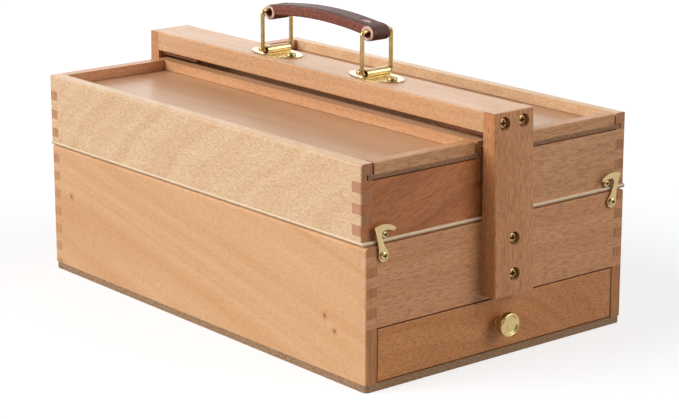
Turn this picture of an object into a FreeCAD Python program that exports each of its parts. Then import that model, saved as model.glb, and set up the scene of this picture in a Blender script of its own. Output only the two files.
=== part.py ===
import FreeCAD, Part
import math
import os
from FreeCAD import Vector

# Artist's drawer box in oiled beech: a finger-jointed case with a drawer, two lidded trays that swing up
# about pins in a yoke, brass hooks, and a leather handle on folding bails.
# Millimetres. X is the width, Y the length (the drawer opens towards -Y), Z is up from the table.

# --- case ---------------------------------------------------------------------------------------------
CASE_WIDTH = 231.0
CASE_LENGTH = 362.0
CASE_TOP = 96.0
WALL = 9.0
BASE_THICKNESS = 5.0
BASE_CORNER = 3.0
DRAWER_OPENING_TOP = 42.0
FINGER = 6.75                       # one finger of the case's box joints
EDGE_EASE = 0.6                     # narrow bevel on upright corners
TOP_ROUND = 2.8                     # outer long edges of the case's mouth
FLOOR_THICKNESS = 3.0
FLOOR_BOTTOM = 43.5
FLOOR_GROOVE = 3.0

# --- drawer -------------------------------------------------------------------------------------------
DRAWER_GAP = 0.9
DRAWER_SIDE = 7.0
DRAWER_SIDE_TOP = 37.5
DRAWER_REAR_GAP = 0.5
DRAWER_FINGER = 8.0
DRAWER_BOTTOM_Z = 8.4
KNOB_Z = 24.6
KNOB_RADIUS = 8.3
KNOB_LENGTH = 11.4

# --- trays --------------------------------------------------------------------------------------------
TRAY_OUTER = 117.5                  # outer face, measured from the middle
TRAY_INNER = 10.7                   # inner face, under the rail
TRAY_INNER_WALL = 9.5
TRAY_END = 178.5                    # front and rear faces, set back from the yoke
TRAY_GAP = 0.6                      # above the case's mouth
TRAY_PANEL = 2.4
TRAY_PANEL_END = 180.3              # the bottom panel stands a little proud of both ends
TRAY_TOP_ROUND = 1.8
TRAY_PANEL_ROUND = 1.4
TRAY_TOP = 149.2
TRAY_FRONT_TOP = 137.6              # the lid passes over the front wall
TRAY_FINGER = 6.95
LID_GROOVE_BOTTOM = 138.2
LID_GROOVE_TOP = 141.8
LID_GROOVE_OUTER = 4.7
LID_GROOVE_INNER = 2.6
LID_GROOVE_REAR = 3.0
LID_CLEARANCE = 0.3
LID_SIDE_CLEARANCE = 1.5            # in the outer wall's groove
LID_THICKNESS = 3.0
LID_RAIL_DEPTH = 9.0
LID_RAIL_TOP = 149.0
LID_RAIL_GAP = 1.7
LID_RAIL_EASE = 0.8

# --- yoke ---------------------------------------------------------------------------------------------
YOKE_WIDTH = 34.5
UPRIGHT_BOTTOM = 46.0
UPRIGHT_FOOT_THICKNESS = 14.0
UPRIGHT_HEAD_THICKNESS = 10.5
RAIL_BOTTOM = 154.6
RAIL_TOP = 169.1
YOKE_ROUND = 1.0
STOP_BLOCK_LENGTH = 45.0
STOP_BLOCK_WIDTH = 28.0
STOP_BLOCK_BOTTOM = 151.2
CASE_SCREW_HEIGHTS = (60.3, 84.3)
RAIL_SCREW_HEIGHT = 161.3
RAIL_SCREW_OFFSET = 8.4
COUNTERBORE_RADIUS = 4.6
SCREW_HEAD_BELOW = 1.4
SCREW_HEAD_RADIUS = 4.1
SCREW_HEAD_HEIGHT = 2.4
SCREW_SHANK_RADIUS = 2.0
RAIL_SCREW_LENGTH = 34.0
CASE_SCREW_TIP = 1.5                # wood left behind the tip of a case screw

# --- tray pivots --------------------------------------------------------------------------------------
PIVOT_X = 14.2
PIVOT_Z = 145.6
PIN_RADIUS = 1.6
PIN_IN_UPRIGHT = 8.0
PIN_IN_TRAY = 10.0
BUSH_RADIUS = 2.6
BUSH_BORE = 1.65
BUSH_LENGTH = 12.0

# --- hooks --------------------------------------------------------------------------------------------
HOOK_X = 102.3
HOOK_Z = 89.2
HOOK_THICKNESS = 1.2
HOOK_STANDOFF = 0.5
HOOK_BORE = 1.58
HOOK_PIN_RADIUS = 1.5
HOOK_PLAY = 0.1
CATCH_DX = 2.9                      # catch screw, from the hook's pivot towards the middle
CATCH_DZ = 12.7
CATCH_REACH = 2.7                   # how far the catch stands out of the tray's front
SMALL_HEAD_RADIUS = 2.6
SMALL_SCREW_RADIUS = 1.3

# --- handle -------------------------------------------------------------------------------------------
BAIL_Y = 55.5                       # the two bails stand this far from the middle
BAIL_HALF_WIDTH = 13.0
BAIL_HEIGHT = 29.3
BAIL_WIRE = 1.55
BAIL_CORNER = 2.6
BAIL_BORE = 1.62
PLATE_THICKNESS = 0.9
PLATE_HALF_LENGTH = 25.0
PLATE_HALF_WIDTH = 12.8
BARREL_RADIUS = 3.2
BARREL_HALF_LENGTH = 10.3
BARREL_AXIS = RAIL_TOP + 3.4
PLATE_SCREW_OFFSET = 16.5
PLATE_SCREW_HEAD = 3.6
BARREL_BORE = 2.3                   # rolled loosely round the wire
GRIP_WIDTH = 16.0
GRIP_THICKNESS = 8.0
GRIP_DROP = 0.2                     # the strap's middle line, below the rods
GRIP_RISE = 4.3
GRIP_BEVEL = 0.9
LOOP_RADIUS = 5.4
LOOP_DROP = 1.6                     # the loops hang from the rods
LOOP_HOLLOW_RADIUS = 2.7
LOOP_HOLLOW_DROP = 1.9
GRIP_SLOT_HALF_LENGTH = 6.0
GRIP_SLOT_HALF_WIDTH = 2.3
GRIP_SLOT_DEPTH = 4.0
GRIP_SLOT_Y = 44.5

HALF_W = CASE_WIDTH / 2
HALF_L = CASE_LENGTH / 2
TRAY_WALL_BOTTOM = CASE_TOP + TRAY_GAP + TRAY_PANEL
GRIP_Z = BARREL_AXIS + BAIL_HEIGHT
LEFT, RIGHT = -1, 1
FRONT, REAR = -1, 1


# --- helpers ------------------------------------------------------------------------------------------
def box(x, y, z):
    """A block between pairs of limits, in any order."""
    (x0, x1), (y0, y1), (z0, z1) = sorted(x), sorted(y), sorted(z)
    return Part.makeBox(x1 - x0, y1 - y0, z1 - z0, Vector(x0, y0, z0))


def rod_y(radius, x, z, y):
    """A cylinder along Y."""
    y0, y1 = sorted(y)
    return Part.makeCylinder(radius, y1 - y0, Vector(x, y0, z), Vector(0, 1, 0))


def rod_x(radius, y, z, half_length):
    """A cylinder along X, centred on the middle plane."""
    return Part.makeCylinder(radius, 2 * half_length, Vector(-half_length, y, z), Vector(1, 0, 0))


def revolved_y(outline, x, z, origin_y, direction):
    """Turns (radius, distance) points about a line along Y; distances count outwards from origin_y."""
    points = [Vector(radius, direction * distance, 0) for radius, distance in outline]
    face = Part.Face(Part.makePolygon(points + points[:1]))
    solid = face.revolve(Vector(0, 0, 0), Vector(0, 1, 0), 360)
    solid.translate(Vector(x, origin_y, z))
    return solid


def straight_edges(shape, **where):
    """The straight edges whose both ends lie at the given coordinates, such as x=..., z=..."""
    axes = {"x": 0, "y": 1, "z": 2}

    def lies_there(edge):
        return len(edge.Vertexes) == 2 and all(
            abs(vertex.Point[axes[name]] - value) < 1e-6
            for vertex in edge.Vertexes
            for name, value in where.items()
        )

    return [edge for edge in shape.Edges if lies_there(edge)]


def eased(shape, radius, *places):
    """Rounds the straight edges at each of the given places."""
    edges = [edge for place in places for edge in straight_edges(shape, **place)]
    return shape.makeFillet(radius, edges)


def bevelled(shape, width, *places):
    """Bevels the straight edges at each of the given places."""
    edges = [edge for place in places for edge in straight_edges(shape, **place)]
    return shape.makeChamfer(width, edges)


def finger_bands(top, bottom, pitch, first):
    """Heights of every other finger of a joint, from the top down, starting with finger 0 or 1."""
    count = math.ceil((top - bottom) / pitch)
    return [(max(bottom, top - (i + 1) * pitch), top - i * pitch) for i in range(first, count, 2)]


def notched(shape, x, y, bands):
    """Cuts the sockets of a finger joint out of the end of a board."""
    return shape.cut(Part.makeCompound([box(x, y, band) for band in bands]))


def solids(shapes):
    """Several like pieces that share one node."""
    return Part.makeCompound(shapes)


def mirrored(shape):
    """The same piece on the other side of the middle plane."""
    return shape.mirror(Vector(0, 0, 0), Vector(1, 0, 0))


def save(name, shape):
    """Writes one sub-part."""
    shape.exportStep("parts/" + name + ".step")


# --- screws and pins ----------------------------------------------------------------------------------
def pan_screw(x, z, head_y, direction, head_radius, head_height, shank_radius, length):
    """A screw along Y: head_y is the seat of its head, and direction points out of the wood."""
    outline = [(0, -length), (shank_radius, -length), (shank_radius, 0), (head_radius, 0)]
    outline += [(head_radius, head_height * 0.45), (head_radius * 0.72, head_height), (0, head_height)]
    return revolved_y(outline, x, z, head_y, direction)


def upright_face(end, z):
    """Where the tapered outer face of an upright stands at height z."""
    share = (z - UPRIGHT_BOTTOM) / (RAIL_TOP - UPRIGHT_BOTTOM)
    thickness = UPRIGHT_FOOT_THICKNESS + (UPRIGHT_HEAD_THICKNESS - UPRIGHT_FOOT_THICKNESS) * share
    return end * (HALF_L + thickness)


def yoke_screw_places(end):
    """(x, z, seat of the head, length) of each screw in one upright."""
    places = []
    for z in CASE_SCREW_HEIGHTS:
        seat = upright_face(end, z) - end * (SCREW_HEAD_BELOW + SCREW_HEAD_HEIGHT)
        places.append((0.0, z, seat, abs(seat) - HALF_L + WALL - CASE_SCREW_TIP))
    for x in (-RAIL_SCREW_OFFSET, RAIL_SCREW_OFFSET):
        seat = upright_face(end, RAIL_SCREW_HEIGHT) - end * (SCREW_HEAD_BELOW + SCREW_HEAD_HEIGHT)
        places.append((x, RAIL_SCREW_HEIGHT, seat, RAIL_SCREW_LENGTH))
    return places


def yoke_screws(end):
    """The four screws of one upright."""
    return [pan_screw(x, z, seat, end, SCREW_HEAD_RADIUS, SCREW_HEAD_HEIGHT, SCREW_SHANK_RADIUS, length)
            for x, z, seat, length in yoke_screw_places(end)]


def yoke_screw_holes(end):
    """Shank holes and counterbores for the four screws of one upright, as a cutter."""
    holes = []
    for x, z, seat, length in yoke_screw_places(end):
        holes.append(rod_y(SCREW_SHANK_RADIUS, x, z, (seat, seat - end * length)))
        holes.append(rod_y(COUNTERBORE_RADIUS, x, z, (seat, seat + end * UPRIGHT_FOOT_THICKNESS)))
    return Part.makeCompound(holes)


# --- case ---------------------------------------------------------------------------------------------
def case_front_bands():
    return finger_bands(CASE_TOP, DRAWER_OPENING_TOP, FINGER, 1)


def case_rear_bands():
    return finger_bands(CASE_TOP, BASE_THICKNESS, FINGER, 1)


def case_floor():
    """Plywood floor of the compartment above the drawer, held in grooves."""
    half_x, half_y = HALF_W - WALL + FLOOR_GROOVE, HALF_L - WALL + FLOOR_GROOVE
    return box((-half_x, half_x), (-half_y, half_y), (FLOOR_BOTTOM, FLOOR_BOTTOM + FLOOR_THICKNESS))


def case_side_wall(side):
    """Full-height side board: its fingers come first at both ends."""
    outer = side * HALF_W
    board = box((outer, outer - side * WALL), (-HALF_L, HALF_L), (BASE_THICKNESS, CASE_TOP))
    board = bevelled(board, EDGE_EASE, {"x": outer, "y": -HALF_L}, {"x": outer, "y": HALF_L})
    board = eased(board, TOP_ROUND, {"x": outer, "z": CASE_TOP})
    span = (outer - side * WALL, outer + side)
    board = notched(board, span, (-HALF_L - 1, -HALF_L + WALL), case_front_bands())
    board = notched(board, span, (HALF_L + 1, HALF_L - WALL), case_rear_bands())
    return board.cut(case_floor())


def case_end_wall(end):
    """Front or rear board between the sides, with fingers that pass through them."""
    outer = end * HALF_L
    bottom = DRAWER_OPENING_TOP if end == FRONT else BASE_THICKNESS
    bands = case_front_bands() if end == FRONT else case_rear_bands()
    board = box((-HALF_W, HALF_W), (outer, outer - end * WALL), (bottom, CASE_TOP))
    board = bevelled(board, EDGE_EASE, {"x": -HALF_W, "y": outer}, {"x": HALF_W, "y": outer})
    sockets = finger_bands(CASE_TOP, bottom, FINGER, 0)
    for side in (LEFT, RIGHT):
        span = (side * (HALF_W + 1), side * (HALF_W - WALL))
        board = notched(board, span, (outer + end, outer - end * (WALL + 1)), sockets)
    board = board.cut(case_floor()).cut(yoke_screw_holes(end))
    if end == FRONT:
        board = board.cut(hook_screw_holes())
    return board


def base_panel():
    """Plywood base under the walls, with rounded corners."""
    board = box((-HALF_W, HALF_W), (-HALF_L, HALF_L), (0, BASE_THICKNESS))
    corners = [{"x": x, "y": y} for x in (-HALF_W, HALF_W) for y in (-HALF_L, HALF_L)]
    return eased(board, BASE_CORNER, *corners)


# --- drawer -------------------------------------------------------------------------------------------
DRAWER_HALF = HALF_W - WALL - DRAWER_GAP
DRAWER_LOW = BASE_THICKNESS + DRAWER_GAP
DRAWER_FRONT_TOP = DRAWER_OPENING_TOP - DRAWER_GAP
DRAWER_REAR = HALF_L - WALL - DRAWER_REAR_GAP
DRAWER_GROOVE = 2.5
KNOB_SCREW_RADIUS = 2.0
FRONT_EASE = 0.7


def drawer_bottom():
    """Plywood bottom in grooves of the four boards."""
    half = DRAWER_HALF - DRAWER_SIDE + DRAWER_GROOVE
    front, rear = -HALF_L + WALL - DRAWER_GROOVE, DRAWER_REAR - DRAWER_SIDE + DRAWER_GROOVE
    return box((-half, half), (front, rear), (DRAWER_BOTTOM_Z, DRAWER_BOTTOM_Z + FLOOR_THICKNESS))


def drawer_front():
    """Front board, flush with the case, with eased edges and the knob's screw hole."""
    board = box((-DRAWER_HALF, DRAWER_HALF), (-HALF_L, -HALF_L + WALL), (DRAWER_LOW, DRAWER_FRONT_TOP))
    board = eased(board, FRONT_EASE, {"y": -HALF_L})
    board = board.cut(drawer_bottom())
    return board.cut(rod_y(KNOB_SCREW_RADIUS, 0, KNOB_Z, (-HALF_L - 1, -HALF_L + WALL + 1)))


def drawer_rear_bands(first):
    return finger_bands(DRAWER_SIDE_TOP, DRAWER_LOW, DRAWER_FINGER, first)


def drawer_side(side):
    """Side board: butts on the front, finger-jointed at the back."""
    outer = side * DRAWER_HALF
    board = box((outer, outer - side * DRAWER_SIDE), (-HALF_L + WALL, DRAWER_REAR),
                (DRAWER_LOW, DRAWER_SIDE_TOP))
    span = (outer + side, outer - side * DRAWER_SIDE)
    board = notched(board, span, (DRAWER_REAR + 1, DRAWER_REAR - DRAWER_SIDE), drawer_rear_bands(1))
    return board.cut(drawer_bottom())


def drawer_back():
    """Back board with fingers through the sides."""
    board = box((-DRAWER_HALF, DRAWER_HALF), (DRAWER_REAR - DRAWER_SIDE, DRAWER_REAR),
                (DRAWER_LOW, DRAWER_SIDE_TOP))
    for side in (LEFT, RIGHT):
        span = (side * (DRAWER_HALF + 1), side * (DRAWER_HALF - DRAWER_SIDE))
        depth = (DRAWER_REAR + 1, DRAWER_REAR - DRAWER_SIDE - 1)
        board = notched(board, span, depth, drawer_rear_bands(0))
    return board.cut(drawer_bottom())


def drawer_knob():
    """Turned brass knob, hollow for its screw: foot, flared neck, and a head with a dished face."""
    radius, length, bore = KNOB_RADIUS, KNOB_LENGTH, KNOB_SCREW_RADIUS
    blind = length * 0.5
    outline = [(0, blind), (bore, blind), (bore, 0), (radius * 0.52, 0), (radius * 0.47, 3.0),
               (radius * 0.62, 5.4), (radius * 0.95, 8.0), (radius, 9.6), (radius * 0.93, length),
               (radius * 0.8, length), (radius * 0.6, length - 1.3), (0, length - 1.5)]
    return revolved_y(outline, 0, KNOB_Z, -HALF_L, FRONT)


def knob_screw():
    """Screw from inside the drawer into the knob."""
    return pan_screw(0, KNOB_Z, -HALF_L + WALL, REAR, 3.6, 2.2, KNOB_SCREW_RADIUS,
                     WALL + KNOB_LENGTH * 0.5)


# --- trays (the left one is drawn, the right one mirrors it) ------------------------------------------
def tray_bands(first):
    return finger_bands(TRAY_FRONT_TOP, TRAY_WALL_BOTTOM, TRAY_FINGER, first)


def lid_space():
    """The groove that the lid runs in, open at the front, as a cutter."""
    outer = -TRAY_OUTER + WALL - LID_GROOVE_OUTER
    inner = -TRAY_INNER - TRAY_INNER_WALL + LID_GROOVE_INNER
    rear = TRAY_END - WALL + LID_GROOVE_REAR
    return box((outer, inner), (-TRAY_END - 1, rear), (LID_GROOVE_BOTTOM, LID_GROOVE_TOP))


def tray_long_wall(outer_face, inner_face, rounded):
    """A long board of the tray: full height, with the lid's groove and the end joints' sockets."""
    board = box((outer_face, inner_face), (-TRAY_END, TRAY_END), (TRAY_WALL_BOTTOM, TRAY_TOP))
    if rounded:
        board = bevelled(board, EDGE_EASE, {"x": outer_face, "y": -TRAY_END},
                         {"x": outer_face, "y": TRAY_END})
        board = eased(board, TRAY_TOP_ROUND, {"x": outer_face, "z": TRAY_TOP})
    span = (min(outer_face, inner_face) - 1, max(outer_face, inner_face) + 1)
    for end in (FRONT, REAR):
        board = notched(board, span, (end * (TRAY_END + 1), end * (TRAY_END - WALL)), tray_bands(0))
    return board.cut(lid_space())


def tray_outer_wall():
    return tray_long_wall(-TRAY_OUTER, -TRAY_OUTER + WALL, True)


def tray_inner_wall():
    """Inner board, with sockets for the pivot bushes in its ends."""
    board = tray_long_wall(-TRAY_INNER - TRAY_INNER_WALL, -TRAY_INNER, False)
    for end in (FRONT, REAR):
        board = board.cut(rod_y(BUSH_RADIUS, -PIVOT_X, PIVOT_Z,
                                (end * TRAY_END, end * (TRAY_END - BUSH_LENGTH))))
    return board


def tray_end_wall(end):
    """Front or rear board: fingers pass through both long boards, and the rear one rises to the top."""
    outer = end * TRAY_END
    depth = (outer, outer - end * WALL)
    board = box((-TRAY_OUTER, -TRAY_INNER), depth, (TRAY_WALL_BOTTOM, TRAY_FRONT_TOP))
    board = bevelled(board, EDGE_EASE, {"x": -TRAY_OUTER, "y": outer})
    sockets = tray_bands(1)
    cut_depth = (outer + end, outer - end * (WALL + 1))
    board = notched(board, (-TRAY_OUTER - 1, -TRAY_OUTER + WALL), cut_depth, sockets)
    board = notched(board, (-TRAY_INNER + 1, -TRAY_INNER - TRAY_INNER_WALL), cut_depth, sockets)
    if end == REAR:
        upper = box((-TRAY_OUTER + WALL, -TRAY_INNER - TRAY_INNER_WALL), depth,
                    (TRAY_FRONT_TOP, TRAY_TOP))
        board = board.fuse(upper).removeSplitter().cut(lid_space())
    else:
        board = board.cut(catch_screw_hole())
    return board


def tray_bottom():
    """Thin pale panel under the tray's walls."""
    panel = box((-TRAY_OUTER, -TRAY_INNER), (-TRAY_PANEL_END, TRAY_PANEL_END),
                (CASE_TOP + TRAY_GAP, TRAY_WALL_BOTTOM))
    panel = bevelled(panel, EDGE_EASE, {"x": -TRAY_OUTER, "y": -TRAY_PANEL_END},
                     {"x": -TRAY_OUTER, "y": TRAY_PANEL_END})
    return eased(panel, TRAY_PANEL_ROUND, {"x": -TRAY_OUTER, "z": CASE_TOP + TRAY_GAP})


def tray_bushes():
    """Brass bushes in the ends of the inner board."""
    bushes = []
    for end in (FRONT, REAR):
        mouth, tail = end * TRAY_END, end * (TRAY_END - BUSH_LENGTH)
        bush = rod_y(BUSH_RADIUS, -PIVOT_X, PIVOT_Z, (mouth, tail))
        bushes.append(bush.cut(rod_y(BUSH_BORE, -PIVOT_X, PIVOT_Z, (mouth + end, tail + end))))
    return solids(bushes)


def catch_place():
    """(x, z) of the left tray's catch screw."""
    return -HOOK_X + CATCH_DX, HOOK_Z + CATCH_DZ


def catch_screw_hole():
    x, z = catch_place()
    return rod_y(SMALL_SCREW_RADIUS, x, z, (-TRAY_END, -TRAY_END + WALL - 1.5))


def catch_screw():
    """Screw that the hook closes over: a bare neck and then the head."""
    x, z = catch_place()
    neck = 1.0
    return pan_screw(x, z, -TRAY_END - neck, FRONT, SMALL_HEAD_RADIUS, CATCH_REACH - neck,
                     SMALL_SCREW_RADIUS, WALL - 1.5 + neck)


def lid_panel():
    """Plywood lid that slides in the tray's grooves."""
    outer = -TRAY_OUTER + WALL - LID_GROOVE_OUTER + LID_SIDE_CLEARANCE
    inner = -TRAY_INNER - TRAY_INNER_WALL + LID_GROOVE_INNER - LID_CLEARANCE
    rear = TRAY_END - WALL + LID_GROOVE_REAR - LID_CLEARANCE
    low = LID_GROOVE_BOTTOM + LID_CLEARANCE
    return box((outer, inner), (-TRAY_END, rear), (low, low + LID_THICKNESS))


def lid_front_rail():
    """Solid rail along the lid's front edge, to push or pull the lid by."""
    low = LID_GROOVE_BOTTOM + LID_CLEARANCE + LID_THICKNESS
    outer = -TRAY_OUTER + WALL + LID_RAIL_GAP
    inner = -TRAY_INNER - TRAY_INNER_WALL - LID_RAIL_GAP
    rail = box((outer, inner), (-TRAY_END, -TRAY_END + LID_RAIL_DEPTH), (low, LID_RAIL_TOP))
    return eased(rail, LID_RAIL_EASE, {"y": -TRAY_END, "z": LID_RAIL_TOP},
                 {"y": -TRAY_END + LID_RAIL_DEPTH, "z": LID_RAIL_TOP})


# --- yoke ---------------------------------------------------------------------------------------------
def upright(end):
    """Tapered post screwed to the case and to the rail's end."""
    profile = [(HALF_L, UPRIGHT_BOTTOM), (HALF_L + UPRIGHT_FOOT_THICKNESS, UPRIGHT_BOTTOM),
               (HALF_L + UPRIGHT_HEAD_THICKNESS, RAIL_TOP), (HALF_L, RAIL_TOP)]
    points = [Vector(-YOKE_WIDTH / 2, end * y, z) for y, z in profile]
    post = Part.Face(Part.makePolygon(points + points[:1])).extrude(Vector(YOKE_WIDTH, 0, 0))
    outer_edges = [edge for edge in post.Edges if all(abs(v.Point.y) > HALF_L + 1 for v in edge.Vertexes)]
    post = post.makeFillet(YOKE_ROUND, outer_edges)
    return post.cut(yoke_screw_holes(end)).cut(pivot_pins_of(end))


def top_rail():
    """Rail between the uprights, which carries the handle."""
    half = YOKE_WIDTH / 2
    rail = box((-half, half), (-HALF_L, HALF_L), (RAIL_BOTTOM, RAIL_TOP))
    rail = eased(rail, YOKE_ROUND, *[{"x": x, "z": z} for x in (-half, half) for z in (RAIL_BOTTOM, RAIL_TOP)])
    for end in (FRONT, REAR):
        rail = rail.cut(yoke_screw_holes(end))
    return rail.cut(plate_screw_holes())


def stop_block(end):
    """Block under the rail's end that the tray's inner edge comes up to."""
    half = STOP_BLOCK_WIDTH / 2
    outer = end * HALF_L
    block = box((-half, half), (outer, outer - end * STOP_BLOCK_LENGTH), (STOP_BLOCK_BOTTOM, RAIL_BOTTOM))
    return eased(block, YOKE_ROUND, {"x": -half, "z": STOP_BLOCK_BOTTOM}, {"x": half, "z": STOP_BLOCK_BOTTOM})


def pivot_pins_of(end):
    """The two pins pressed into one upright."""
    span = (end * (HALF_L + PIN_IN_UPRIGHT), end * (TRAY_END - PIN_IN_TRAY))
    return Part.makeCompound([rod_y(PIN_RADIUS, side * PIVOT_X, PIVOT_Z, span) for side in (LEFT, RIGHT)])


def pivot_pins():
    return solids(pivot_pins_of(FRONT).Solids + pivot_pins_of(REAR).Solids)


# --- hooks --------------------------------------------------------------------------------------------
HOOK_BACK = -HALF_L - HOOK_STANDOFF
HOOK_FACE = HOOK_BACK - HOOK_THICKNESS
HOOK_SCREW_LENGTH = 7.0


def left_hook():
    """Flat brass hook: an eye, a leaning shank, and a crescent that closes over the catch."""
    def at(x, z):
        return Vector(x, 0, z)

    crescent_tip = at(-7.6, 19.0)
    nose_top, nose_low = at(9.0, 17.4), at(8.2, 15.0)
    edges = [
        Part.Arc(at(-3.9, 0.6), at(-0.9, -4.0), at(3.8, -1.2)),
        Part.Arc(at(3.8, -1.2), at(3.9, 1.4), at(2.2, 3.8)),
        Part.Arc(at(2.2, 3.8), at(-0.2, 8.2), at(-1.6, 13.0)),
        Part.Arc(at(-1.6, 13.0), at(-0.7, 15.6), at(2.2, 16.3)),
        Part.Arc(at(2.2, 16.3), at(5.2, 16.0), nose_low),
        Part.Arc(nose_low, at(9.6, 15.7), nose_top),
        Part.Arc(nose_top, at(0.8, 20.3), crescent_tip),
        Part.Arc(crescent_tip, at(-6.2, 14.2), at(-4.6, 8.0)),
        Part.Arc(at(-4.6, 8.0), at(-4.0, 4.2), at(-3.9, 0.6)),
    ]
    face = Part.Face(Part.Wire([edge.toShape() for edge in edges]))
    plate = face.extrude(Vector(0, -HOOK_THICKNESS, 0))
    plate.translate(Vector(-HOOK_X, HOOK_BACK, HOOK_Z))
    return plate.cut(rod_y(HOOK_BORE, -HOOK_X, HOOK_Z, (HOOK_BACK + 1, HOOK_FACE - 1)))


def hook_screws():
    """Pivot screws of both hooks: a collar behind the plate, a plain neck through it, and the head."""
    screws = []
    for side in (LEFT, RIGHT):
        seat = HOOK_FACE - HOOK_PLAY
        screw = pan_screw(side * HOOK_X, HOOK_Z, seat, FRONT, SMALL_HEAD_RADIUS + 0.3, 1.6,
                          SMALL_SCREW_RADIUS, -HALF_L - seat + HOOK_SCREW_LENGTH)
        neck = rod_y(HOOK_PIN_RADIUS, side * HOOK_X, HOOK_Z, (-HALF_L, seat))
        collar = rod_y(SMALL_HEAD_RADIUS, side * HOOK_X, HOOK_Z, (-HALF_L, HOOK_BACK + HOOK_PLAY))
        screws.append(screw.fuse([neck, collar]).removeSplitter())
    return solids(screws)


def hook_screw_holes():
    """Pilot holes in the case's front board, as a cutter."""
    return Part.makeCompound([rod_y(SMALL_SCREW_RADIUS, side * HOOK_X, HOOK_Z,
                                    (-HALF_L - 1, -HALF_L + HOOK_SCREW_LENGTH)) for side in (LEFT, RIGHT)])


# --- handle -------------------------------------------------------------------------------------------
def plate_screw_places():
    return [(bail * BAIL_Y + way * PLATE_SCREW_OFFSET) for bail in (FRONT, REAR) for way in (FRONT, REAR)]


PLATE_SCREW_RADIUS = 1.6
PLATE_SCREW_LENGTH = 11.0


def plate_screw_holes():
    """Pilot holes in the rail, as a cutter."""
    return Part.makeCompound([
        Part.makeCylinder(PLATE_SCREW_RADIUS, PLATE_SCREW_LENGTH, Vector(0, y, RAIL_TOP - PLATE_SCREW_LENGTH))
        for y in plate_screw_places()])


def plate_screws():
    """Round-head screws through the plates into the rail."""
    screws = []
    for y in plate_screw_places():
        length = PLATE_SCREW_LENGTH + PLATE_THICKNESS
        screw = pan_screw(0, 0, 0, REAR, PLATE_SCREW_HEAD, 2.3, PLATE_SCREW_RADIUS, length)
        screw.rotate(Vector(0, 0, 0), Vector(1, 0, 0), 90)
        screw.translate(Vector(0, y, RAIL_TOP + PLATE_THICKNESS))
        screws.append(screw)
    return solids(screws)


def handle_plate(end):
    """Oval plate with a rolled barrel across its middle for the bail."""
    y = end * BAIL_Y
    oval = Part.Ellipse(Vector(0, 0, 0), PLATE_HALF_LENGTH, PLATE_HALF_WIDTH).toShape()
    plate = Part.Face(Part.Wire([oval])).extrude(Vector(0, 0, PLATE_THICKNESS))
    plate.rotate(Vector(0, 0, 0), Vector(0, 0, 1), 90)
    plate.translate(Vector(0, y, RAIL_TOP))
    barrel = rod_x(BARREL_RADIUS, y, BARREL_AXIS, BARREL_HALF_LENGTH)
    foot = box((-BARREL_HALF_LENGTH, BARREL_HALF_LENGTH), (y - BARREL_RADIUS, y + BARREL_RADIUS),
               (RAIL_TOP, RAIL_TOP + PLATE_THICKNESS + 0.6))
    plate = plate.fuse([barrel, foot]).removeSplitter()
    plate = plate.cut(rod_x(BARREL_BORE, y, BARREL_AXIS, PLATE_HALF_WIDTH))
    for way in (FRONT, REAR):
        plate = plate.cut(Part.makeCylinder(PLATE_SCREW_RADIUS, 2 * PLATE_THICKNESS + 1,
                                            Vector(0, y + way * PLATE_SCREW_OFFSET, RAIL_TOP - 1)))
    return plate


def bail(end):
    """Closed rectangle of brass wire, whose corners are bent in three steps."""
    y, half, bend = end * BAIL_Y, BAIL_HALF_WIDTH, BAIL_CORNER
    low, high = BARREL_AXIS, GRIP_Z
    step = math.radians(30)
    path = [Vector(0, y, low)]
    for side, z, start in ((RIGHT, low, 270), (RIGHT, high, 0), (LEFT, high, 90), (LEFT, low, 180)):
        centre_x, centre_z = side * (half - bend), z + (bend if z == low else -bend)
        for turn in (0.5, 1.5, 2.5):
            angle, reach = math.radians(start) + turn * step, bend / math.cos(step / 2)
            path.append(Vector(centre_x + reach * math.cos(angle), y, centre_z + reach * math.sin(angle)))
    wire = Part.makePolygon(path + path[:1])
    section = Part.Wire([Part.makeCircle(BAIL_WIRE, path[0], Vector(1, 0, 0))])
    return wire.makePipeShell([section], True, False, 1).removeSplitter()


def grip_slot(end):
    """Lens-shaped slit in the strap's top beside a loop, as a cutter."""
    y, length, width = end * GRIP_SLOT_Y, GRIP_SLOT_HALF_LENGTH, GRIP_SLOT_HALF_WIDTH
    low = GRIP_Z - GRIP_DROP + GRIP_THICKNESS / 2 - GRIP_SLOT_DEPTH
    tips = Vector(0, y - length, low), Vector(0, y + length, low)
    edges = [Part.Arc(tips[0], Vector(side * width, y, low), tips[1]).toShape() for side in (LEFT, RIGHT)]
    return Part.Face(Part.Wire(edges)).extrude(Vector(0, 0, GRIP_THICKNESS + GRIP_RISE))


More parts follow.
